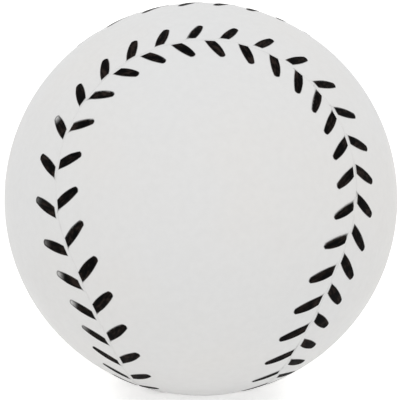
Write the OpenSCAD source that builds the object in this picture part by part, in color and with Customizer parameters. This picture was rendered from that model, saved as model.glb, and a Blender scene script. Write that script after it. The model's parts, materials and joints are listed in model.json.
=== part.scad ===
// Hollow rubber play ball, styled as a baseball. Two moulded half shells are cemented rim to rim.
// One closed seam groove winds round the ball, with a V of two inked stitch marks at every pitch.
// Millimetres, +Z up, origin at the centre of the ball. The front of the ball faces -Y.

/* [Ball] */
// Outside diameter of the ball
ball_d = 63.5; // [50:0.5:76]
// Thickness of the rubber wall
wall_t = 4; // [2.5:0.1:6]

/* [Joint of the half shells] */
// Width of the outer lip, where the two rims meet with no cement between them
rim_lip_w = 1; // [0.6:0.1:1.5]
// Thickness of the cement layer between the rims
cement_t = 0.3; // [0.2:0.05:0.6]
// Radius of the bead of cement that is squeezed out into the cavity
cement_bead_r = 0.8; // [0.5:0.05:1.2]

/* [Seam] */
// Tilt of each lobe's centre out of the middle plane, in degrees
lobe_tilt = 23.5; // [18:0.5:30]
// Width of the moulded seam groove
seam_w = 0.35; // [0.25:0.05:0.5]
// Depth of the moulded seam groove
seam_depth = 0.12; // [0.08:0.01:0.12]

/* [Stitch marks] */
// Stitches on each of the four lobes of the seam
stitches_per_lobe = 17; // [13:1:20]
// Length of the longest stitch marks, from base to tip
stitch_len = 5.2; // [4.4:0.1:6]
// Width of the widest stitch marks
stitch_w = 1.75; // [1.2:0.05:2.1]
// Angle between a stitch mark and the seam, in degrees
stitch_angle = 59; // [50:1:66]
// Width of the bare strip between the bases of the two marks of a V
strip_w = 0.9; // [0.7:0.05:1.4]
// Depth of the recess that holds the ink of a mark
ink_depth = 0.35; // [0.25:0.05:0.5]
// Height of the ink over the rubber
ink_proud = 0.05; // [0.03:0.01:0.1]

/* [Hand work] */
// How much shorter the marks are at a lobe's closed end
len_drop = 1; // [0:0.1:1.2]
// How much narrower the marks are at a lobe's closed end
width_drop = 0.3; // [0:0.05:0.4]
// Most that the marks get longer or shorter along a row
len_wobble = 0.25; // [0:0.05:0.4]
// Most that the marks get wider or narrower along a row
width_wobble = 0.12; // [0:0.02:0.2]
// Most that a mark leans off its angle, in degrees
angle_wobble = 4.5; // [0:0.5:7]

/* [Hidden] */
$fn = 128;

// Facets of the leaf outlines and of the tubes' sections
small_fn = 64;

ball_r = ball_d / 2;
cavity_r = ball_r - wall_t;

// The seam is four equal arcs of a circle on the ball. The centre of each lies lobe_tilt above or
// below the middle plane. The arc meets that plane 45 degrees to each side, and runs on there into
// the next arc in the same direction.
lobes = 4;
half_lobe = 180 / lobes;
arc_reach = acos(cos(lobe_tilt) * cos(half_lobe));
arc_half_turn = 180 - atan2(tan(half_lobe), sin(lobe_tilt));
arc_r = ball_r * sin(arc_reach);
arc_len = arc_r * 2 * arc_half_turn * PI / 180;
pitch = arc_len / stitches_per_lobe;

// The groove is the lowest part of a round tube that lies mostly outside the ball
groove_r = (seam_w * seam_w / 4 + seam_depth * seam_depth) / (2 * seam_depth);
groove_centre_r = ball_r + groove_r - seam_depth;

// The hand work goes up and down in waves. Each wave is given by how often it goes round the whole
// seam and by the stitch where it is highest. The first is for the row on the front lobe's panel, and
// the second for the row on the side lobe's panel.
len_waves = [[6, 1], [12, -1.5]];
width_waves = [[6, 0], [4, -2.5]];
angle_waves = [[6, 3.5], [2, 3.5]];

// Both rows sway together, towards the side lobe's panel where this wave is highest, by this share
// of the room between the marks and the groove
sway_wave = [6, 2];
sway_share = 0.7;

// Hand spacing of the two rows: how far a row lags behind the count, and the waves of its spacing
// with their heights after them. Lags and heights are shares of the pitch.
front_panel_lag_share = 0.22;
front_panel_drift_shares = [[2, -2, 0.42], [4, -1.5, 0.2], [10, 2.5, 0.07]];
side_panel_lag_share = 0.64;
side_panel_drift_shares = [[1, 2.5, 0.12], [2, -3, 0.43], [6, -4.5, 0.07], [8, -4, 0.07]];

// A mark is a leaf between two arcs. How far past its base and its tip the arcs would meet, in shares
// of its length, how much of its width bulges forward, and the radius of its tip in shares of its width
base_over_share = 0.45;
tip_over_share = 0.25;
forward_share = 0.58;
tip_round_share = 0.36;

// Overrun of cuts, and of the prisms that the marks are cut from
cut_over = 1;

function is_even(k) = k % 2 == 0;
function square_of(x) = x * x;

// Height of a wave at stitch i, from -1 to 1
function wave(i, form) = cos(form[0] * (i - form[1]) * 360 / (lobes * stitches_per_lobe));
function row_wave(i, side, forms) = wave(i, forms[side < 0 ? 0 : 1]);

// Sum of the waves of a row's hand spacing
function drift(i, shares) = [for (form = shares) form[2]] * [for (form = shares) wave(i, form)];

// Place of stitch i along the seam, from the closed end of the front lobe. Side -1 is the row on the
// front lobe's panel, to the right of the run, and side 1 is the row on the side lobe's panel.
function station(i, side) =
  pitch * (i + (side < 0
    ? drift(i, front_panel_drift_shares) - front_panel_lag_share
    : drift(i, side_panel_drift_shares) - side_panel_lag_share));
function lobe_at(s) = round(s / arc_len);
function turn_at(s) = (s - lobe_at(s) * arc_len) / arc_r * 180 / PI;

// Height of the seam over the middle plane
function seam_z(s) =
  (is_even(lobe_at(s)) ? ball_r : -ball_r)
  * (sin(lobe_tilt) * cos(arc_reach) + cos(lobe_tilt) * sin(arc_reach) * cos(turn_at(s)));

// How far stitch i is at the closed end of its lobe, from 0 to 1
function at_closed_end(i) = (1 + cos(i * 360 / stitches_per_lobe)) / 2;

// Size and lean of the mark of stitch i on one side, and its distance from the middle of the seam
function mark_len(i, side) =
  stitch_len - len_drop * at_closed_end(i) + len_wobble * row_wave(i, side, len_waves);
function mark_w(i, side) =
  stitch_w - width_drop * at_closed_end(i) + width_wobble * row_wave(i, side, width_waves);
function mark_angle(i, side) = stitch_angle + angle_wobble * row_wave(i, side, angle_waves);
function mark_gap(i, side) =
  strip_w / 2 + side * sway_share * (strip_w - seam_w) / 2 * wave(i, sway_wave);

// The side of the run that a lobe's inner row lies on: the seam turns clockwise round the front and
// back lobes, and the other way round the side lobes
function inner_side(k) = is_even(k) ? -1 : 1;

// Turns children from the top of the ball to the centre of lobe k, with its closed end along X
module on_lobe(k) {
  rotate([0, 0, 90 * (k - 1)])
  rotate([0, is_even(k) ? 90 - lobe_tilt : 90 + lobe_tilt, 0])
  rotate([0, 0, is_even(k) ? 180 : 0])
  children();
}

// Turns children from the top of the ball to station s. There X runs along the seam, Y to its left.
module on_seam(s) {
  k = lobe_at(s);
  on_lobe(k)
  rotate([0, 0, inner_side(k) * turn_at(s)])
  rotate([0, arc_reach, 0])
  rotate([0, 0, inner_side(k) * 90])
  children();
}

// Outline of a left-hand mark. Its spine leaves the seam at an angle, and its base is cut along the
// seam. The middle of the spine is at the origin.
module mark_outline(length, width, angle) {
  forward = forward_share * width;
  rear = width - forward;
  middle = length * (tip_over_share - base_over_share) / 2;
  half = length * (1 + tip_over_share + base_over_share) / 2;
  forward_r = (square_of(half) + square_of(forward)) / (2 * forward);
  rear_r = (square_of(half) + square_of(rear)) / (2 * rear);
  tip_r = tip_round_share * width;
  tip_x = length / 2 - tip_r;
  tip_y = (rear - forward) / 2 * (1 - square_of((tip_x - middle) / half));
  intersection() {
    rotate(angle) {
      intersection() {
        translate([middle, forward_r - forward]) circle(r = forward_r, $fn = small_fn);
        translate([middle, rear - rear_r]) circle(r = rear_r, $fn = small_fn);
        union() {
          translate([tip_x, tip_y]) circle(r = tip_r, $fn = small_fn);
          translate([-length, -width]) square([length + tip_x, 2 * width]);
        }
      }
    }
    translate([-length, -length / 2 * sin(angle)]) square([2 * length, 2 * length]);
  }
}

// Prism of the mark of stitch i, through the surface of the ball
module mark_prism(i, side) {
  length = mark_len(i, side);
  angle = mark_angle(i, side);
  row_turn = (mark_gap(i, side) + length / 2 * sin(angle)) / ball_r * 180 / PI;
  on_seam(station(i, side))
  rotate([-side * row_turn, 0, 0])
  mirror([0, side < 0 ? 1 : 0, 0])
  translate([0, 0, ball_r - ink_depth - cut_over])
  linear_extrude(ink_depth + 2 * cut_over)
  mark_outline(length, mark_w(i, side), angle);
}

// The space between two spheres round the ball's centre
module round_band(low_r, high_r) {
  difference() {
    sphere(r = high_r);
    sphere(r = low_r);
  }
}

// Numbers of the stitches on lobe k
function lobe_stitches(k) =
  let (first = k * stitches_per_lobe - floor(stitches_per_lobe / 2))
  [first : first + stitches_per_lobe - 1];

// The ink of one row of marks on lobe k
module stitch_row(k, side) {
  color("#1b1a1a")
  intersection() {
    round_band(ball_r - ink_depth, ball_r + ink_proud);
    for (i = lobe_stitches(k)) mark_prism(i, side);
  }
}

// The recesses of all marks that reach the upper half (1) or the lower half (-1) of the ball
module mark_recesses(half) {
  intersection() {
    round_band(ball_r - ink_depth, ball_r + cut_over);
    for (k = [0 : lobes - 1])
      for (i = lobe_stitches(k))
        for (side = [-1, 1])
          if (half * seam_z(station(i, side)) > -(stitch_len + strip_w)) mark_prism(i, side);
  }
}

// The groove along lobe k's arc of the seam, run on a little way past the rim of its half shell
module seam_arc(k) {
  half_turn = arc_half_turn + cut_over / arc_r * 180 / PI;
  on_lobe(k)
  rotate([0, 0, -half_turn])
  rotate_extrude(angle = 2 * half_turn)
  translate([groove_centre_r * sin(arc_reach), groove_centre_r * cos(arc_reach)])
  circle(r = groove_r, $fn = small_fn);
}

// Half of the moulded ball, upper (1) or lower (-1), with its rim stepped back for the cement. The
// upper half holds the arcs of the front and back lobes, and the lower half those of the side lobes.
module half_shell(half) {
  color("#e6e6e4")
  difference() {
    intersection() {
      round_band(cavity_r, ball_r);
      translate([-ball_d, -ball_d, half > 0 ? 0 : -ball_d]) cube([2 * ball_d, 2 * ball_d, ball_d]);
    }
    cylinder(h = cement_t, r = ball_r - rim_lip_w, center = true);
    for (k = [half > 0 ? 0 : 1 : 2 : lobes - 1]) seam_arc(k);
    mark_recesses(half);
  }
}

module upper_shell() { half_shell(1); }

module lower_shell() { half_shell(-1); }

// Cement between the rims, with the bead that it leaves inside the wall
module bond_ring() {
  color("#cdbb8f")
  rotate_extrude() {
    translate([cavity_r - cement_bead_r / 2, -cement_t / 2])
      square([ball_r - rim_lip_w - cavity_r + cement_bead_r / 2, cement_t]);
    intersection() {
      translate([cavity_r, 0]) circle(r = cement_bead_r, $fn = small_fn);
      circle(r = cavity_r);
    }
  }
}

module lobe_row(k, inner) { stitch_row(k, inner ? inner_side(k) : -inner_side(k)); }

upper_shell();
lower_shell();
bond_ring();
lobe_row(0, true);  // front_inner_stitches
lobe_row(0, false);  // front_outer_stitches
lobe_row(1, true);  // right_inner_stitches
lobe_row(1, false);  // right_outer_stitches
lobe_row(2, true);  // back_inner_stitches
lobe_row(2, false);  // back_outer_stitches
lobe_row(3, true);  // left_inner_stitches
lobe_row(3, false);  // left_outer_stitches
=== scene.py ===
"""Scene of a white rubber play ball styled as a baseball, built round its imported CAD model.

The two half shells and the eight rows of ink marks are rebuilt as finer meshes. The outlines of the
marks are read from the CAD nodes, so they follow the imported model. Lengths are in metres, unless a
comment says otherwise.
"""

import json
import math

import bpy
from mathutils import Matrix, Vector, geometry, kdtree, noise


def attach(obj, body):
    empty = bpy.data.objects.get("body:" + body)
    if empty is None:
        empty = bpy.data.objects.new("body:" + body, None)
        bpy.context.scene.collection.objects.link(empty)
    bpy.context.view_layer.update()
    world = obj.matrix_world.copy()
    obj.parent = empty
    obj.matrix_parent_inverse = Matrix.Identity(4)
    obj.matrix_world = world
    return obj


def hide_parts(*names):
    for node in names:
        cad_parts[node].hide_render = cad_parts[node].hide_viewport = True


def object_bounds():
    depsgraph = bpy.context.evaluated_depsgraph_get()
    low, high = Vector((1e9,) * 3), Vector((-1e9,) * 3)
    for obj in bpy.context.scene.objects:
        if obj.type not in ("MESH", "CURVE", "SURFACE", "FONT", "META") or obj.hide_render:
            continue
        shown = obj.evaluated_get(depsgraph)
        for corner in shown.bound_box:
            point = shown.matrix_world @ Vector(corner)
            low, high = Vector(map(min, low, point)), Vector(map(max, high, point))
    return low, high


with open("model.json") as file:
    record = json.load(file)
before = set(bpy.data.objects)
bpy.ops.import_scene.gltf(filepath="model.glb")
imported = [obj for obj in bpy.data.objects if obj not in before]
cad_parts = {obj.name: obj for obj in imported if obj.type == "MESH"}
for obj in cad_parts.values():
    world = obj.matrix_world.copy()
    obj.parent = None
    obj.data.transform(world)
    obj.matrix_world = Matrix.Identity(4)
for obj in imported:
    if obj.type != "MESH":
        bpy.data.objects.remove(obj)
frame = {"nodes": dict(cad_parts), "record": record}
cad_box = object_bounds()

MM = 0.001

# The ball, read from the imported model
BALL_R = (cad_box[1].z - cad_box[0].z) / 2
FLOOR_Z = cad_box[0].z

# The rest of the ball's sizes, as in the part's source
WALL_T = 4 * MM
CAVITY_R = BALL_R - WALL_T
RIM_LIP_W = 1 * MM
CEMENT_T = 0.3 * MM
LOBES = 4
LOBE_TILT = math.radians(23.5)
SEAM_W = 0.35 * MM
SEAM_DEPTH = 0.12 * MM
INK_DEPTH = 0.35 * MM
INK_PROUD = 0.05 * MM

# The seam's four arcs, as in the part's source: the angle from a lobe's centre to its arc, and the
# angle that the arc turns through to each side of the lobe's closed end
ARC_REACH = math.acos(math.cos(LOBE_TILT) * math.cos(math.radians(45)))
ARC_HALF_TURN = math.pi - math.atan2(1, math.sin(LOBE_TILT))

# The groove's shoulders are rounded off over this width, and this many lines of points follow it
GROOVE_ROUND = 0.08 * MM
GROOVE_HALF = SEAM_W / 2 + GROOVE_ROUND
GROOVE_LINES = 9

# Points of the rubber's mesh: their spacing along the seam, how many steps a line of them runs past
# its arc, their spacing elsewhere, how far they keep from lines and from the rim, and their number
# round the rim and up the cavity
SEAM_STEP = 0.5 * MM
SEAM_OVERRUN_STEPS = 2
SKIN_STEP = 1.15 * MM
CLEAR_OF_LINES = 0.4 * MM
CLEAR_OF_RIM = 0.2 * MM
RIM_POINTS = 240
CAVITY_ROWS = 14

# In the plan of a half ball, whose rim has radius 1: how near the rim a point counts as on it, and
# how near it a triangle counts as outside
RIM_SLACK = 2e-4
OUTSIDE_SLACK = 2e-6

# The nearness test that the triangulation asks for, as a share of the ball's radius
NEARNESS = 1e-7

# Outline points closer together than this count as one
SHORTEST_EDGE = 0.04 * MM

# The ink's thin edge, which spills over the rubber round the recess: its width, how uneven that is,
# its height, and how much wider it may get at a sharp corner
INK_SPILL = 0.13 * MM
INK_SPILL_WANDER = 0.45
INK_SPILL_LIFT = 0.006 * MM
LONGEST_MITRE = 1.5

# The ink's rounded edge: how far in from the thin edge its shoulder and its crown begin, the height
# of the shoulder as a share of the crown's, and how far the shoulder's normals lean outwards
INK_SHOULDER = 0.07 * MM
INK_ROUND = 0.18 * MM
SHOULDER_HEIGHT_SHARE = 0.7
SHOULDER_LEAN = 0.5

# Spacing of the points inside the crown, and how far they keep from its outline
INK_STEP = 0.3 * MM
CLEAR_OF_CROWN = INK_STEP / 3

# The unevenness of the ink: the width of its patches, and what is added to a mark's number where it
# sets the painted highlight on the mark's upper edge and the length of its tail
EDGE_WANDER_SCALE = 0.9 * MM
UPPER_HIGHLIGHT_SEED = 0.5
TAIL_SEED = 0.25

# The ink thins out to nothing over this width at its edge, with this unevenness, and over more on
# the upper side of some marks, as a painted highlight where light from above falls on the edge
FEATHER = 0.11 * MM
FEATHER_WANDER = 0.5
UPPER_HIGHLIGHT_FEATHER = 0.35 * MM

# Length of the thin tail at the acute corner of a mark's base, where the unevenness is 1
TAIL_LEN = 1.4 * MM

# Strength of the painted highlight on the upper edges that are set here, by the mark's number in its
# row. The unevenness sets the others.
UPPER_EDGE_HIGHLIGHTS = {
    "front_inner_stitches": {0: 1},
    "right_outer_stitches": {0: 1},
}

# Marks whose ink gives way to the rubber's colour towards the tip: the share that goes, by the
# mark's number in its row
PALE_TIPS = {
    "front_outer_stitches": {13: 0.65, 15: 0.25, 16: 0.3},
    "left_inner_stitches": {14: 0.4, 15: 0.7, 16: 0.65},
    "back_inner_stitches": {2: 0.6, 9: 0.8},
    "right_outer_stitches": {11: 0.7},
}

# How far from the tip the paling begins, as a share of the mark's length, and how fast it grows from
# there: at a rate of 1 it would be full only at the tip
PALING_LENGTH_SHARE = 0.38
PALING_RATE = 1.2

# Width of the band inside a mark's edge over which the tip's paling grows from none to full
PALING_EDGE_RAMP = 0.35 * MM

# Where the photograph was taken from, in degrees, and where the ball is in it, in pixels. The
# sensor's width is in millimetres.
CAMERA_AZIMUTH = -2.51
CAMERA_ELEVATION = 19.36
CAMERA_ROLL = 0.9
CAMERA_DISTANCE = 90 * BALL_R
PHOTO_SIZE = 400
BALL_RADIUS_PX = 196.6
BALL_CENTRE_PX = (200.84, 199.2)
SENSOR_W = 36
CLIP_END = 10

# Light: the studio round the ball, the softbox in front of it and above it, the lit plate just over
# the floor under it, and the floor, which glows only for what the camera sees
WORLD_LIGHT = 0.943
SOFTBOX_LIGHT = 0.35
SOFTBOX_SIZE = 0.5
SOFTBOX_PLACE = (-0.02, -0.45, 0.55)
PLATE_LIGHT = 0.15
PLATE_R = 1.3 * BALL_R
PLATE_LIFT = 0.02 * MM
FLOOR_SIZE = 6
FLOOR_COLOUR = (0.9, 0.895, 0.885)
FLOOR_GLOW = 0.48

# Colours, linear
WHITE = (1, 1, 1, 1)
RUBBER_COLOURS = [(0.77, 0.772, 0.772), (0.774, 0.772, 0.768), (0.778, 0.771, 0.761)]
# Grey of the painted shade in the groove, strongest where the groove is deepest
GROOVE_SHADE_COLOUR = (0.6, 0.6, 0.6)
INK_COLOURS = [(0.001, 0.0012, 0.0015), (0.0045, 0.0035, 0.0031), (0.023, 0.0165, 0.0142)]
CEMENT_COLOURS = [(0.5, 0.41, 0.22), (0.6, 0.5, 0.28), (0.68, 0.58, 0.36)]

# The range that most of a noise keeps to, and the places in it of the three colours of a material
NOISE_RANGE = (0.3, 0.7)
PATCH_PLACES = (0.35, 0.5, 0.65)
INK_PLACES = (0.43, 0.51, 0.62)

# Rubber: wide clouds of tint, a faint mottle, painted shade in parts of the groove, and a satin
# surface with a swell and a fine grain
RUBBER_SPECULAR = 0.2
CLOUD_SIZE = 22 * MM
MOTTLE_SIZE = 1.2 * MM
MOTTLE_BRIGHTNESS = (0.985, 1.01)
# Painted shade in the groove: the size of its patches, the noise range it is read from, and its
# share
GROOVE_SHADE_PATCH_SIZE = 4 * MM
GROOVE_SHADE_NOISE_RANGE = (0.45, 0.65)
GROOVE_SHADE_SHARE = (0, 0.3)
POLISH_SIZE = 6 * MM
RUBBER_ROUGHNESS = (0.52, 0.68)
RUBBER_GRAIN_SIZE = 0.35 * MM
SWELL_SIZE = 2.5 * MM
SWELL_HEIGHT = 3
RUBBER_BUMP = {"Strength": 0.35, "Distance": 0.02 * MM}

# Ink: streaks along each mark, whose pattern shifts over the ball so that each mark has its own,
# blotches, an edge that is ragged where the ink soaked in, and a fine grain. The streaks' width is
# in millimetres, as are the places that the ink's mesh notes.
INK_SPECULAR = 0.02
STREAK_WIDTH_MM = 0.45
STREAK_SQUEEZE = 0.25
STREAK_SHIFT = 0.15 / MM
STREAK_DISTORTION = 0.3
STREAK_SHARE = 0.6
BLOTCH_SIZE = 1.5 * MM
BLOTCH_SHARE = 0.4
SOAK_SIZE = 0.25 * MM
SOAK = (-0.18, 0.18)
INK_ROUGHNESS = (0.5, 0.7)
INK_GRAIN_SIZE = 0.3 * MM
INK_BUMP = {"Strength": 0.4, "Distance": 0.012 * MM}

# Cement: patches of colour and gloss, and lumps
CEMENT_SPECULAR = 0.3
CEMENT_PATCH_SIZE = 3 * MM
CEMENT_ROUGHNESS = (0.5, 0.8)
LUMP_SIZE = 0.8 * MM
CEMENT_BUMP = {"Strength": 0.6, "Distance": 0.08 * MM}


def turned(axis, angle):
    return Matrix.Rotation(angle, 3, axis)


def lobe_matrix(lobe):
    """Turns the top of the ball to the lobe's centre, with its closed end along X."""
    even = lobe % 2 == 0
    tilt = math.pi / 2 - LOBE_TILT if even else math.pi / 2 + LOBE_TILT
    spin = math.pi if even else 0
    return turned("Z", math.pi / 2 * (lobe - 1)) @ turned("Y", tilt) @ turned("Z", spin)


LOBE_NAMES = ("front", "right", "back", "left")
LOBE_MATRICES = [lobe_matrix(lobe) for lobe in range(LOBES)]


def lobes_of_half(half):
    """The two lobes whose arcs lie in the upper (1) or lower (-1) half of the ball."""
    return range(0 if half > 0 else 1, LOBES, 2)


def beside_seam(lobe, turn, offset):
    """Direction of the point that lies offset outside a lobe's arc, turn from its closed end."""
    reach = ARC_REACH + offset / BALL_R
    return LOBE_MATRICES[lobe] @ turned("Z", turn) @ Vector((math.sin(reach), 0, math.cos(reach)))


def groove_at(direction, lobes):
    """Depth of the groove at a direction, and the way and the rate at which it gets deeper."""
    for lobe in lobes:
        centre = LOBE_MATRICES[lobe].col[2]
        angle = centre.angle(direction)
        offset = (angle - ARC_REACH) * BALL_R
        if abs(offset) < GROOVE_HALF:
            phase = math.pi * offset / GROOVE_HALF
            depth = SEAM_DEPTH * (1 + math.cos(phase)) / 2
            rate = -SEAM_DEPTH * math.pi / (2 * GROOVE_HALF) * math.sin(phase)
            outwards = (direction * math.cos(angle) - centre) / math.sin(angle)
            return depth, outwards * rate
    return 0, Vector((0, 0, 0))


def flat_of(direction, half):
    """Stereographic plan of the upper (1) or lower (-1) half ball, whose rim has radius 1."""
    return Vector((direction.x, direction.y)) / (1 + half * direction.z)


def direction_of(flat, half):
    square = flat.length_squared
    return Vector((2 * flat.x, 2 * flat.y, half * (1 - square))) / (1 + square)


def neighbours(ring):
    """Each item of a ring with the one after it."""
    return zip(ring, ring[1:] + ring[:1])


def stitch_outlines(node):
    """Outlines of the marks of a CAD node, each a ring of directions from the ball's centre.

    The rings run counter-clockwise as seen from outside the ball.
    """
    mesh = frame["nodes"][node].data
    micron = MM / 1000
    key_of = [tuple(round(c / micron) for c in vertex.co) for vertex in mesh.vertices]
    place = {key: vertex.co.copy() for key, vertex in zip(key_of, mesh.vertices)}
    top_r = BALL_R + INK_PROUD / 2
    edges = {}
    for polygon in mesh.polygons:
        keys = [key_of[v] for v in polygon.vertices]
        if min(place[key].length for key in keys) > top_r:
            for a, b in neighbours(keys):
                edges[a, b] = True
    follow = {a: b for a, b in edges if (b, a) not in edges}
    outlines = []
    while follow:
        start = min(follow)
        ring = [start]
        while (following := follow.pop(ring[-1])) != start:
            ring.append(following)
        points = [place[key] for key in ring]
        points = [a for a, b in neighbours(points) if (b - a).length > SHORTEST_EDGE]
        outlines.append([point.normalized() for point in points])
    return outlines


class MeshParts:
    """Points and faces of one mesh, with a normal for each corner and a note for each point."""

    def __init__(self, note_name, note_type):
        self.points = []
        self.faces = []
        self.normals = []
        self.notes = []
        self.note_name = note_name
        self.note_type = note_type

    def add_points(self, points, notes):
        first = len(self.points)
        self.points.extend(points)
        self.notes.extend(notes)
        return list(range(first, len(self.points)))

    def add_face(self, corners, normals=None):
        self.faces.append(corners)
        if normals is None:
            flat = geometry.normal([self.points[c] for c in corners])
            normals = [flat] * len(corners)
        self.normals.extend(normals)

    def build(self, name):
        mesh = bpy.data.meshes.new(name)
        mesh.from_pydata(self.points, [], self.faces)
        mesh.polygons.foreach_set("use_smooth", [True] * len(self.faces))
        mesh.normals_split_custom_set(self.normals)
        note = mesh.attributes.new(self.note_name, self.note_type, "POINT")
        if self.note_type == "FLOAT":
            note.data.foreach_set("value", self.notes)
        else:
            note.data.foreach_set("vector", [c for vector in self.notes for c in vector])
        built = bpy.data.objects.new(name, mesh)
        bpy.context.scene.collection.objects.link(built)
        return built


def counter_clockwise(points, triangle):
    a, b, c = (points[v] for v in triangle)
    return (b - a).cross(c - a) > 0


def triangulated(flats, edges, outlines):
    """Points and triangles of a plan, with what each point came from and each triangle lies in."""
    whole_plan, with_sources = 0, True
    net = geometry.delaunay_2d_cdt(flats, edges, outlines, whole_plan, NEARNESS, with_sources)
    points, _, triangles, sources, _, origins = net
    return points, triangles, sources, origins


def spread_directions(step):
    """Directions spread evenly over the ball along a spiral."""
    count = round(4 * math.pi * BALL_R ** 2 / step ** 2)
    golden = math.pi * (3 - math.sqrt(5))
    for i in range(count):
        z = 1 - (2 * i + 1) / count
        ring = math.sqrt(1 - z * z)
        yield Vector((ring * math.cos(golden * i), ring * math.sin(golden * i), z))


def shell_plan(half, outlines):
    """Points, edges and mark outlines of one half's skin, in its stereographic plan."""
    directions = []
    edges = []
    for i in range(RIM_POINTS):
        angle = 2 * math.pi * (i + 0.5) / RIM_POINTS
        directions.append(Vector((math.cos(angle), math.sin(angle), 0)))
        edges.append((i, (i + 1) % RIM_POINTS))

    # The lines of the groove cross the rim between two of its points, with none of their own on it
    steps = round(2 * ARC_HALF_TURN * BALL_R * math.sin(ARC_REACH) / SEAM_STEP)
    for lobe in lobes_of_half(half):
        for line in range(GROOVE_LINES):
            offset = GROOVE_HALF * (2 * line / (GROOVE_LINES - 1) - 1)
            first = len(directions)
            for step in range(-SEAM_OVERRUN_STEPS, steps + SEAM_OVERRUN_STEPS + 1):
                direction = beside_seam(lobe, ARC_HALF_TURN * (2 * step / steps - 1), offset)
                if abs(direction.z) * BALL_R > CLEAR_OF_RIM:
                    directions.append(direction)
            edges.extend((i, i + 1) for i in range(first, len(directions) - 1))

    # The plan of the lower half is mirrored, so the outlines are turned round for it
    marks = []
    for outline in outlines:
        if max(half * direction.z for direction in outline) > 0:
            marks.append(list(range(len(directions), len(directions) + len(outline))))
            directions.extend(outline[::half])

    lines = kdtree.KDTree(len(directions))
    for i, direction in enumerate(directions):
        lines.insert(direction * BALL_R, i)
    lines.balance()
    for direction in spread_directions(SKIN_STEP):
        on_half = half * direction.z * BALL_R > CLEAR_OF_LINES
        if on_half and lines.find(direction * BALL_R)[2] > CLEAR_OF_LINES:
            directions.append(direction)
    return [flat_of(direction, half) for direction in directions], edges, marks


def half_shell(name, half, outlines):
    """One half of the moulded ball, upper (1) or lower (-1), with its groove, recesses and rim."""
    lobes = lobes_of_half(half)
    flats, triangles, _, origins = triangulated(*shell_plan(half, outlines))
    on_rim = [abs(flat.length - 1) < RIM_SLACK for flat in flats]
    flats = [flat.normalized() if rim else flat for flat, rim in zip(flats, on_rim)]
    directions = [direction_of(flat, half) for flat in flats]

    # Each point notes how deep in the groove it lies, which the rubber's look uses for its painted
    # shade
    parts = MeshParts("groove", "FLOAT")
    skin_normals = {}
    skin = {}
    floor = {}
    used = {}

    def skin_point(v):
        if v not in skin:
            depth, slope = groove_at(directions[v], lobes)
            point = directions[v] * (BALL_R - depth)
            skin[v] = parts.add_points([point], [depth / SEAM_DEPTH])[0]
            skin_normals[v] = (directions[v] + slope).normalized()
        return skin[v]

    def floor_point(v):
        if v not in floor:
            floor[v] = parts.add_points([directions[v] * (BALL_R - INK_DEPTH)], [0])[0]
        return floor[v]

    for triangle, origin in zip(triangles, origins):
        middle = sum((flats[v] for v in triangle), Vector((0, 0))) / 3
        if middle.length > 1 - OUTSIDE_SLACK:
            continue
        corners = list(triangle)
        if counter_clockwise(flats, corners) != (half > 0):
            corners.reverse()
        if origin:
            parts.add_face([floor_point(v) for v in corners], [directions[v] for v in corners])
        else:
            parts.add_face([skin_point(v) for v in corners], [skin_normals[v] for v in corners])
        for a, b in neighbours(corners):
            used[a, b] = bool(origin)

    rim_edges = []
    for (a, b), in_mark in used.items():
        if (b, a) not in used:
            rim_edges.append((a, b, in_mark))
        elif in_mark and not used[b, a]:
            parts.add_face([floor[b], floor[a], skin[a], skin[b]])

    add_rim(parts, half, directions, skin, floor, rim_edges)
    return parts.build(name)


def add_rim(parts, half, directions, skin, floor, rim_edges):
    """The rim, stepped back for the cement, and the wall of the cavity inside it."""
    spins = sorted({v for a, b, _ in rim_edges for v in (a, b)},
                   key=lambda v: half * math.atan2(directions[v].y, directions[v].x))
    step = Vector((0, 0, half * CEMENT_T / 2))
    lip = [directions[v] * (BALL_R - RIM_LIP_W) for v in spins]
    rings = [lip, [point + step for point in lip]]
    cavity_start = len(rings)
    first_rise = math.asin(CEMENT_T / 2 / CAVITY_R)
    for row in range(CAVITY_ROWS):
        rise = first_rise + (math.pi / 2 - first_rise) * row / CAVITY_ROWS
        rings.append([
            (directions[v] * math.cos(rise) + Vector((0, 0, half * math.sin(rise)))) * CAVITY_R
            for v in spins
        ])
    numbers = [parts.add_points(ring, [0] * len(ring)) for ring in rings]
    inner = dict(zip(spins, numbers[0]))
    for a, b, in_mark in rim_edges:
        if in_mark:
            parts.add_face([floor[b], floor[a], inner[a], inner[b]])
        else:
            corners = [skin[b], skin[a], floor.get(a), inner[a], inner[b], floor.get(b)]
            parts.add_face([corner for corner in corners if corner is not None])

    def inward(corners):
        return [-parts.points[c].normalized() for c in corners]

    count = len(spins)
    for row in range(1, len(numbers)):
        low, high = numbers[row - 1], numbers[row]
        for i in range(count):
            j = (i + 1) % count
            corners = [high[i], high[j], low[j], low[i]]
            parts.add_face(corners, inward(corners) if row > cavity_start else None)
    pole = parts.add_points([Vector((0, 0, half * CAVITY_R))], [0])[0]
    for a, b in neighbours(numbers[-1]):
        corners = [pole, b, a]
        parts.add_face(corners, inward(corners))


def wander(direction, seed):
    """Smooth unevenness over the ball, about -1 to 1, another one for each seed."""
    return noise.noise(direction * (BALL_R / EDGE_WANDER_SCALE) + Vector((seed, 0, 0)))


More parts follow.
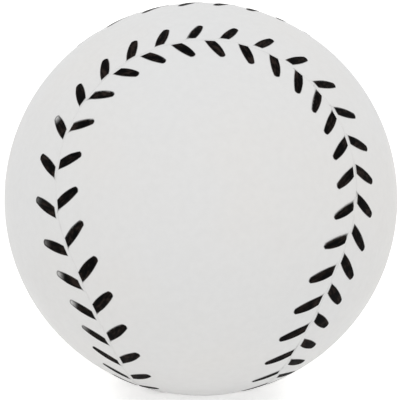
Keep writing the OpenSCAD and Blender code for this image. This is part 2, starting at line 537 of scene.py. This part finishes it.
class MarkPlan:
    """A mark's outline in a plane that touches the ball at its middle, drawn counter-clockwise."""

    def __init__(self, outline):
        self.count = len(outline)
        self.centre = sum(outline, Vector()).normalized()
        self.x_axis = self.centre.orthogonal().normalized()
        self.y_axis = self.centre.cross(self.x_axis)
        self.flats = [self.flat_of(direction) for direction in outline]
        self.sides = [self.side(i) for i in range(self.count)]
        self.find_ends()

    def flat_of(self, direction):
        scale = BALL_R / direction.dot(self.centre)
        return Vector((direction.dot(self.x_axis), direction.dot(self.y_axis))) * scale

    def direction_of(self, flat):
        return (self.centre * BALL_R + self.x_axis * flat.x + self.y_axis * flat.y).normalized()

    def side(self, i):
        """Way out of the mark at outline point i, longer at a corner."""
        before = (self.flats[i] - self.flats[i - 1]).normalized()
        after = (self.flats[(i + 1) % self.count] - self.flats[i]).normalized()
        way = Vector((before.y + after.y, -before.x - after.x))
        return way.normalized() * min(LONGEST_MITRE, 2 / way.length)

    def bend(self, i):
        """Angle that the outline turns through at its point i."""
        before = self.flats[i] - self.flats[i - 1]
        after = self.flats[(i + 1) % self.count] - self.flats[i]
        return before.angle(after)

    def find_ends(self):
        """Finds the sharpest corner, the base between it and the next sharpest, and the tip."""
        *_, other, self.corner = sorted(range(self.count), key=self.bend)
        self.base = (self.flats[other] + self.flats[self.corner]) / 2
        tip = max(self.flats, key=lambda flat: (flat - self.base).length)
        self.length = (tip - self.base).length
        self.along = (tip - self.base) / self.length
        self.across = Vector((-self.along.y, self.along.x))
        if (self.flats[self.corner] - self.base).dot(self.across) > 0:
            self.across = -self.across
        across_height = (self.x_axis * self.across.x + self.y_axis * self.across.y).z
        self.upward = math.copysign(1, across_height)

    def place(self, flat):
        """How far a point lies along the mark from its base, and across it from its spine."""
        return Vector(((flat - self.base).dot(self.along), (flat - self.base).dot(self.across)))

    def ring(self, offsets):
        """The outline moved outwards by an offset at each of its points."""
        return [flat + side * offset for flat, side, offset in zip(self.flats, self.sides, offsets)]


def distance_to_ring(flat, ring):
    nearest = math.inf
    for a, b in neighbours(ring):
        edge = b - a
        share = min(1, max(0, (flat - a).dot(edge) / edge.length_squared))
        nearest = min(nearest, (a + edge * share - flat).length)
    return nearest


def ink_cover(plan, flat, depth_in, seed, tip_paling, upper_highlight):
    """Share of the rubber that the ink hides at a point that lies depth_in inside its edge."""
    direction = plan.direction_of(flat)
    along, across = plan.place(flat)
    # Painted highlight: the upper side of a mark thins out more, so it looks lit from above
    above_spine = min(1, max(0, plan.upward * across / INK_STEP))
    feather = FEATHER * (1 + FEATHER_WANDER * wander(direction, seed))
    feather += UPPER_HIGHLIGHT_FEATHER * upper_highlight * above_spine
    cover = min(1, depth_in / feather)
    # Towards the tip of some marks the ink gives way to the rubber's colour, less so near the edge
    paling_length = PALING_LENGTH_SHARE * plan.length
    paling = tip_paling * min(1, max(0, 1 - (plan.length - along) / paling_length) * PALING_RATE)
    return cover * (1 - paling * min(1, depth_in / PALING_EDGE_RAMP))


def ink_net(crown):
    """Triangles that fill the crown of a mark, with points spread evenly inside it."""
    lows = [min(flat[axis] for flat in crown) for axis in (0, 1)]
    highs = [max(flat[axis] for flat in crown) for axis in (0, 1)]
    columns, lines = (math.ceil((high - low) / INK_STEP) for high, low in zip(highs, lows))
    inner = [
        Vector((lows[0] + INK_STEP * column, lows[1] + INK_STEP * (line + column % 2 / 2)))
        for column in range(1, columns)
        for line in range(lines)
    ]
    inner = [flat for flat in inner if distance_to_ring(flat, crown) > CLEAR_OF_CROWN]
    flats = [flat / BALL_R for flat in crown + inner]
    flats, triangles, sources, origins = triangulated(flats, [], [list(range(len(crown)))])
    kept = [list(triangle) for triangle, origin in zip(triangles, origins) if origin]
    for triangle in kept:
        if not counter_clockwise(flats, triangle):
            triangle.reverse()
    rim = {source: point for point, found in enumerate(sources) for source in found}
    return [flat * BALL_R for flat in flats], kept, [rim[i] for i in range(len(crown))]


def add_mark(parts, outline, seed, tip_paling, upper_highlight):
    """One mark: ink that fills its recess, with a rounded edge and a thin spill over the rubber."""
    plan = MarkPlan(outline)
    # Strength of the painted highlight on the mark's upper edge
    upper_highlight = max(upper_highlight, wander(plan.centre, seed + UPPER_HIGHLIGHT_SEED))
    count = plan.count
    spills = [INK_SPILL * (1 + INK_SPILL_WANDER * wander(direction, seed)) for direction in outline]
    spilt = plan.ring(spills)
    tail = TAIL_LEN * abs(wander(plan.centre, seed + TAIL_SEED))
    spilt[plan.corner] += plan.sides[plan.corner].normalized() * tail
    rounded = plan.ring([spill - INK_SHOULDER for spill in spills])
    crown = plan.ring([spill - INK_ROUND for spill in spills])
    net, triangles, crown_rim = ink_net(crown)

    def lay(flats, radius, depths_in):
        """Adds the points of a plan at a radius, with their cover and their places in the mark."""
        points = []
        notes = []
        for flat, depth_in in zip(flats, depths_in):
            place = plan.place(flat)
            cover = ink_cover(plan, flat, depth_in, seed, tip_paling, upper_highlight)
            points.append(plan.direction_of(flat) * radius)
            notes.append((cover, place.x / MM, place.y / MM))
        return parts.add_points(points, notes)

    # The points under the spill count as far inside the ink's edge
    far_in = [BALL_R] * count
    floor = lay(plan.flats, BALL_R - INK_DEPTH, far_in)
    lip = lay(plan.flats, BALL_R, far_in)
    edge = lay(spilt, BALL_R + INK_SPILL_LIFT, [0] * count)
    shoulder_r = BALL_R + INK_PROUD * SHOULDER_HEIGHT_SHARE
    shoulder = lay(rounded, shoulder_r, [INK_SHOULDER] * count)
    net_depths = [INK_ROUND + distance_to_ring(flat, crown) for flat in net]
    top = lay(net, BALL_R + INK_PROUD, net_depths)
    crown_ring = [top[v] for v in crown_rim]

    ups = [plan.direction_of(flat) for flat in plan.flats]
    outs = [(plan.x_axis * side.x + plan.y_axis * side.y).normalized() for side in plan.sides]
    edge_normals = [(up + out).normalized() for up, out in zip(ups, outs)]
    shoulder_normals = [(up + out * SHOULDER_LEAN).normalized() for up, out in zip(ups, outs)]
    for i in range(count):
        j = (i + 1) % count
        parts.add_face([floor[i], floor[j], lip[j], lip[i]])
        parts.add_face([lip[i], lip[j], edge[j], edge[i]])
        parts.add_face([edge[i], edge[j], shoulder[j], shoulder[i]],
                       [edge_normals[i], edge_normals[j], shoulder_normals[j], shoulder_normals[i]])
        parts.add_face([shoulder[i], shoulder[j], crown_ring[j], crown_ring[i]],
                       [shoulder_normals[i], shoulder_normals[j], ups[j], ups[i]])
    parts.add_face(floor[::-1])
    for triangle in triangles:
        parts.add_face([top[v] for v in triangle], [plan.direction_of(net[v]) for v in triangle])


def ink_row(node, outlines):
    """The ink of one row of marks, which replaces the row's CAD node."""
    inverse = LOBE_MATRICES[LOBE_NAMES.index(node.split("_")[0])].transposed()

    def turn_round_lobe(outline):
        middle = inverse @ sum(outline, Vector())
        return math.atan2(middle.y, middle.x)

    parts = MeshParts("ink", "FLOAT_VECTOR")
    tip_paling = PALE_TIPS.get(node, {})
    upper_highlight = UPPER_EDGE_HIGHLIGHTS.get(node, {})
    for number, outline in enumerate(sorted(outlines, key=turn_round_lobe)):
        add_mark(parts, outline, number, tip_paling.get(number, 0), upper_highlight.get(number, 0))
    return parts.build("ink_" + node)


def add_camera():
    """A long lens at the photograph's viewing angle, aimed so that the ball fills the frame."""
    azimuth = math.radians(CAMERA_AZIMUTH)
    elevation = math.radians(CAMERA_ELEVATION)
    towards = Vector((
        math.cos(elevation) * math.sin(azimuth),
        -math.cos(elevation) * math.cos(azimuth),
        math.sin(elevation),
    ))
    level_right = Vector((0, 0, 1)).cross(towards).normalized()
    level_up = towards.cross(level_right)
    roll = math.radians(CAMERA_ROLL)
    right = level_right * math.cos(roll) + level_up * math.sin(roll)
    up = towards.cross(right)
    lens_px = BALL_RADIUS_PX * math.sqrt((CAMERA_DISTANCE / BALL_R) ** 2 - 1)
    metres_per_px = CAMERA_DISTANCE / lens_px
    aim = (
        right * (PHOTO_SIZE / 2 - BALL_CENTRE_PX[0]) * metres_per_px
        + up * (BALL_CENTRE_PX[1] - PHOTO_SIZE / 2) * metres_per_px
    )
    camera = bpy.data.cameras.new("camera")
    camera.sensor_width = SENSOR_W
    camera.lens = lens_px / PHOTO_SIZE * SENSOR_W
    camera.clip_end = CLIP_END
    holder = bpy.data.objects.new("camera", camera)
    bpy.context.scene.collection.objects.link(holder)
    turn = Matrix((right, up, towards)).transposed().to_4x4()
    holder.matrix_world = Matrix.Translation(aim + towards * CAMERA_DISTANCE) @ turn
    bpy.context.scene.camera = holder


def put(node, socket, value):
    """Sets a socket of a node, or links it where the value is a socket of another node."""
    if isinstance(value, bpy.types.NodeSocket):
        node.id_data.links.new(value, node.inputs[socket])
    else:
        node.inputs[socket].default_value = value


def add_node(tree, kind, inputs, **settings):
    node = tree.nodes.new("ShaderNode" + kind)
    for name, value in settings.items():
        setattr(node, name, value)
    for socket, value in inputs.items():
        put(node, socket, value)
    return node


def math_node(tree, operation, *values):
    return add_node(tree, "Math", dict(enumerate(values)), operation=operation).outputs[0]


def mixed(tree, factor, first, second):
    """Mix of two colours."""
    factor_socket, first_socket, second_socket, result = 0, 6, 7, 2
    inputs = {factor_socket: factor, first_socket: first, second_socket: second}
    return add_node(tree, "Mix", inputs, data_type="RGBA").outputs[result]


def fine_noise(tree, place, size, detail=2, distortion=0):
    """Noise of about 0.3 to 0.7 whose patches are about as wide as size."""
    inputs = {"Vector": place, "Scale": 1 / size, "Detail": detail, "Distortion": distortion}
    return add_node(tree, "TexNoise", inputs).outputs[0]


def spread(tree, value, given, wanted):
    """Value stretched from the range it is given in to the range that is wanted, and kept in it."""
    inputs = {"Value": value, "From Min": given[0], "From Max": given[1]}
    inputs.update({"To Min": wanted[0], "To Max": wanted[1]})
    return add_node(tree, "MapRange", inputs).outputs[0]


def colour_steps(tree, factor, places, colours):
    """Colour that runs through the given colours as the factor passes their places."""
    ramp = add_node(tree, "ValToRGB", {"Fac": factor})
    stops = ramp.color_ramp.elements
    while len(stops) < len(colours):
        stops.new(1)
    for stop, place, colour in zip(stops, places, colours):
        stop.position = place
        stop.color = (*colour, 1)
    return ramp.outputs["Color"]


def new_look(name, specular):
    """A material with its node tree, its shader and the place on the object in metres."""
    material = bpy.data.materials.new(name)
    material.use_nodes = True
    tree = material.node_tree
    shader = tree.nodes["Principled BSDF"]
    put(shader, "Specular IOR Level", specular)
    place = add_node(tree, "TexCoord", {}).outputs["Object"]
    return material, tree, shader, place


def scaled(tree, vector, scale):
    return add_node(tree, "VectorMath", {0: vector, "Scale": scale}, operation="SCALE").outputs[0]


def set_bump(tree, shader, settings, height):
    bump = add_node(tree, "Bump", {**settings, "Height": height})
    put(shader, "Normal", bump.outputs["Normal"])


def rubber_colour(tree, place):
    """White rubber, a touch warmer in some wide patches and cooler in others, faintly mottled."""
    clouds = fine_noise(tree, place, CLOUD_SIZE, detail=3)
    tint = colour_steps(tree, clouds, PATCH_PLACES, RUBBER_COLOURS)
    mottle = fine_noise(tree, place, MOTTLE_SIZE)
    return scaled(tree, tint, spread(tree, mottle, NOISE_RANGE, MOTTLE_BRIGHTNESS))


def rubber_look():
    """Moulded rubber: satin, with a fine grain and painted shade in parts of the groove."""
    material, tree, shader, place = new_look("white_rubber_look", RUBBER_SPECULAR)
    # Painted shade: the rubber is mixed towards grey where the groove is deep, in patches
    groove = add_node(tree, "Attribute", {}, attribute_name="groove").outputs["Fac"]
    shade_patches = spread(tree, fine_noise(tree, place, GROOVE_SHADE_PATCH_SIZE, detail=3), GROOVE_SHADE_NOISE_RANGE, GROOVE_SHADE_SHARE)
    groove_shade = math_node(tree, "MULTIPLY", groove, shade_patches)
    put(shader, "Base Color", mixed(tree, groove_shade, rubber_colour(tree, place), (*GROOVE_SHADE_COLOUR, 1)))
    polish = fine_noise(tree, place, POLISH_SIZE, detail=3)
    put(shader, "Roughness", spread(tree, polish, NOISE_RANGE, RUBBER_ROUGHNESS))
    grain = fine_noise(tree, place, RUBBER_GRAIN_SIZE, detail=3)
    swell = fine_noise(tree, place, SWELL_SIZE, detail=1)
    set_bump(tree, shader, RUBBER_BUMP, math_node(tree, "MULTIPLY_ADD", swell, SWELL_HEIGHT, grain))
    return material


def ink_tone(tree, place, along, across):
    """Noise that picks the ink's colour, and the streaks that are a part of it."""
    lengthwise = math_node(tree, "MULTIPLY", along, STREAK_SQUEEZE)
    streak_place = add_node(tree, "CombineXYZ", {"X": lengthwise, "Y": across, "Z": 0}).outputs[0]
    shift = scaled(tree, place, STREAK_SHIFT)
    streak_place = add_node(tree, "VectorMath", {0: streak_place, 1: shift}).outputs[0]
    streaks = fine_noise(tree, streak_place, STREAK_WIDTH_MM, 3, STREAK_DISTORTION)
    blotches = math_node(tree, "MULTIPLY", fine_noise(tree, place, BLOTCH_SIZE), BLOTCH_SHARE)
    return math_node(tree, "MULTIPLY_ADD", streaks, STREAK_SHARE, blotches), streaks


def ink_look():
    """Satin black ink, streaked along each mark and thinned out to the rubber at its edge."""
    material, tree, shader, place = new_look("stitch_ink_look", INK_SPECULAR)
    note = add_node(tree, "Attribute", {}, attribute_name="ink").outputs["Vector"]
    cover, along, across = add_node(tree, "SeparateXYZ", {"Vector": note}).outputs
    tone, streaks = ink_tone(tree, place, along, across)
    black = colour_steps(tree, tone, INK_PLACES, INK_COLOURS)
    soak = spread(tree, fine_noise(tree, place, SOAK_SIZE), NOISE_RANGE, SOAK)
    # Where the cover is low the rubber's colour shows: at the thin edge, at the pale tips, and on
    # upper edges as painted highlight
    thin = math_node(tree, "SUBTRACT", 1, cover)
    ragged = math_node(tree, "MULTIPLY_ADD", soak, math_node(tree, "MULTIPLY", thin, cover), thin)
    smooth = add_node(tree, "MapRange", {"Value": ragged}, interpolation_type="SMOOTHSTEP")
    put(shader, "Base Color", mixed(tree, smooth.outputs[0], black, rubber_colour(tree, place)))
    put(shader, "Roughness", spread(tree, streaks, NOISE_RANGE, INK_ROUGHNESS))
    set_bump(tree, shader, INK_BUMP, fine_noise(tree, place, INK_GRAIN_SIZE, detail=3))
    return material


def cement_look():
    """Dried tan cement with uneven, slightly glossy patches."""
    material, tree, shader, place = new_look("rubber_cement_look", CEMENT_SPECULAR)
    patches = fine_noise(tree, place, CEMENT_PATCH_SIZE, detail=4)
    put(shader, "Base Color", colour_steps(tree, patches, PATCH_PLACES, CEMENT_COLOURS))
    put(shader, "Roughness", spread(tree, patches, NOISE_RANGE, CEMENT_ROUGHNESS))
    set_bump(tree, shader, CEMENT_BUMP, fine_noise(tree, place, LUMP_SIZE, detail=3))
    return material


def seen_directly(tree):
    """1 for what the camera sees, also mirrored or through glass, and 0 for light on the ball."""
    path = add_node(tree, "LightPath", {}).outputs
    mirrored = math_node(tree, "MAXIMUM", path["Is Glossy Ray"], path["Is Transmission Ray"])
    return math_node(tree, "MAXIMUM", path["Is Camera Ray"], mirrored)


def add_world():
    """Even white studio light, which the camera sees as plain white."""
    world = bpy.data.worlds.new("studio")
    bpy.context.scene.world = world
    world.use_nodes = True
    tree = world.node_tree
    strength = math_node(tree, "MULTIPLY_ADD", seen_directly(tree), 1 - WORLD_LIGHT, WORLD_LIGHT)
    put(tree.nodes["Background"], "Color", WHITE)
    put(tree.nodes["Background"], "Strength", strength)


def add_lamp(name, shape, size, brightness, area, turn, place):
    """A flat lamp that is seen neither by the camera nor in reflections."""
    lamp = bpy.data.lights.new(name, "AREA")
    lamp.shape = shape
    lamp.size = size
    lamp.energy = brightness * math.pi * area
    holder = bpy.data.objects.new(name, lamp)
    holder.matrix_world = Matrix.Translation(place) @ turn.to_matrix().to_4x4()
    holder.visible_camera = False
    holder.visible_glossy = False
    bpy.context.scene.collection.objects.link(holder)


def add_lamps():
    """A softbox in front and above, and a lit plate under the ball that fills its underside."""
    place = Vector(SOFTBOX_PLACE)
    aim = place.to_track_quat("Z", "Y")
    add_lamp("softbox", "SQUARE", SOFTBOX_SIZE, SOFTBOX_LIGHT, SOFTBOX_SIZE ** 2, aim, place)
    up = Vector((0, 0, -1)).to_track_quat("Z", "Y")
    plate_place = Vector((0, 0, FLOOR_Z + PLATE_LIFT))
    add_lamp("plate", "DISK", 2 * PLATE_R, PLATE_LIGHT, math.pi * PLATE_R ** 2, up, plate_place)


def add_floor():
    """A plain pale floor, which looks white where it is lit and keeps the ball's shadow."""
    half = FLOOR_SIZE / 2
    sides = (-half, -half), (half, -half), (half, half), (-half, half)
    corners = [(x, y, FLOOR_Z) for x, y in sides]
    mesh = bpy.data.meshes.new("floor")
    mesh.from_pydata(corners, [], [(0, 1, 2, 3)])
    floor = bpy.data.objects.new("floor", mesh)
    bpy.context.scene.collection.objects.link(floor)
    material, tree, shader, _ = new_look("floor_white", 0)
    put(shader, "Base Color", (*FLOOR_COLOUR, 1))
    put(shader, "Roughness", 1)
    put(shader, "Emission Color", WHITE)
    put(shader, "Emission Strength", math_node(tree, "MULTIPLY", seen_directly(tree), FLOOR_GLOW))
    mesh.materials.append(material)


add_camera()
add_world()
add_lamps()
add_floor()

looks = {"white_rubber": rubber_look(), "stitch_ink": ink_look(), "rubber_cement": cement_look()}
stitch_rows = []
for part in frame["record"]["subparts"]:
    node = frame["nodes"][part["node"]]
    node.data.materials.clear()
    node.data.materials.append(looks[part["material_slot"]])
    if part["material_slot"] == "stitch_ink":
        stitch_rows.append(part["node"])

outlines = {row: stitch_outlines(row) for row in stitch_rows}
all_outlines = [outline for row in stitch_rows for outline in outlines[row]]
pieces = [
    ("upper_shell", "white_rubber", half_shell("rubber_upper_shell", 1, all_outlines)),
    ("lower_shell", "white_rubber", half_shell("rubber_lower_shell", -1, all_outlines)),
]
pieces += [(row, "stitch_ink", ink_row(row, outlines[row])) for row in stitch_rows]
for replaced, slot, piece in pieces:
    piece.data.materials.append(looks[slot])
    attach(piece, "root")
    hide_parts(replaced)

bpy.context.scene.view_settings.view_transform = "Standard"
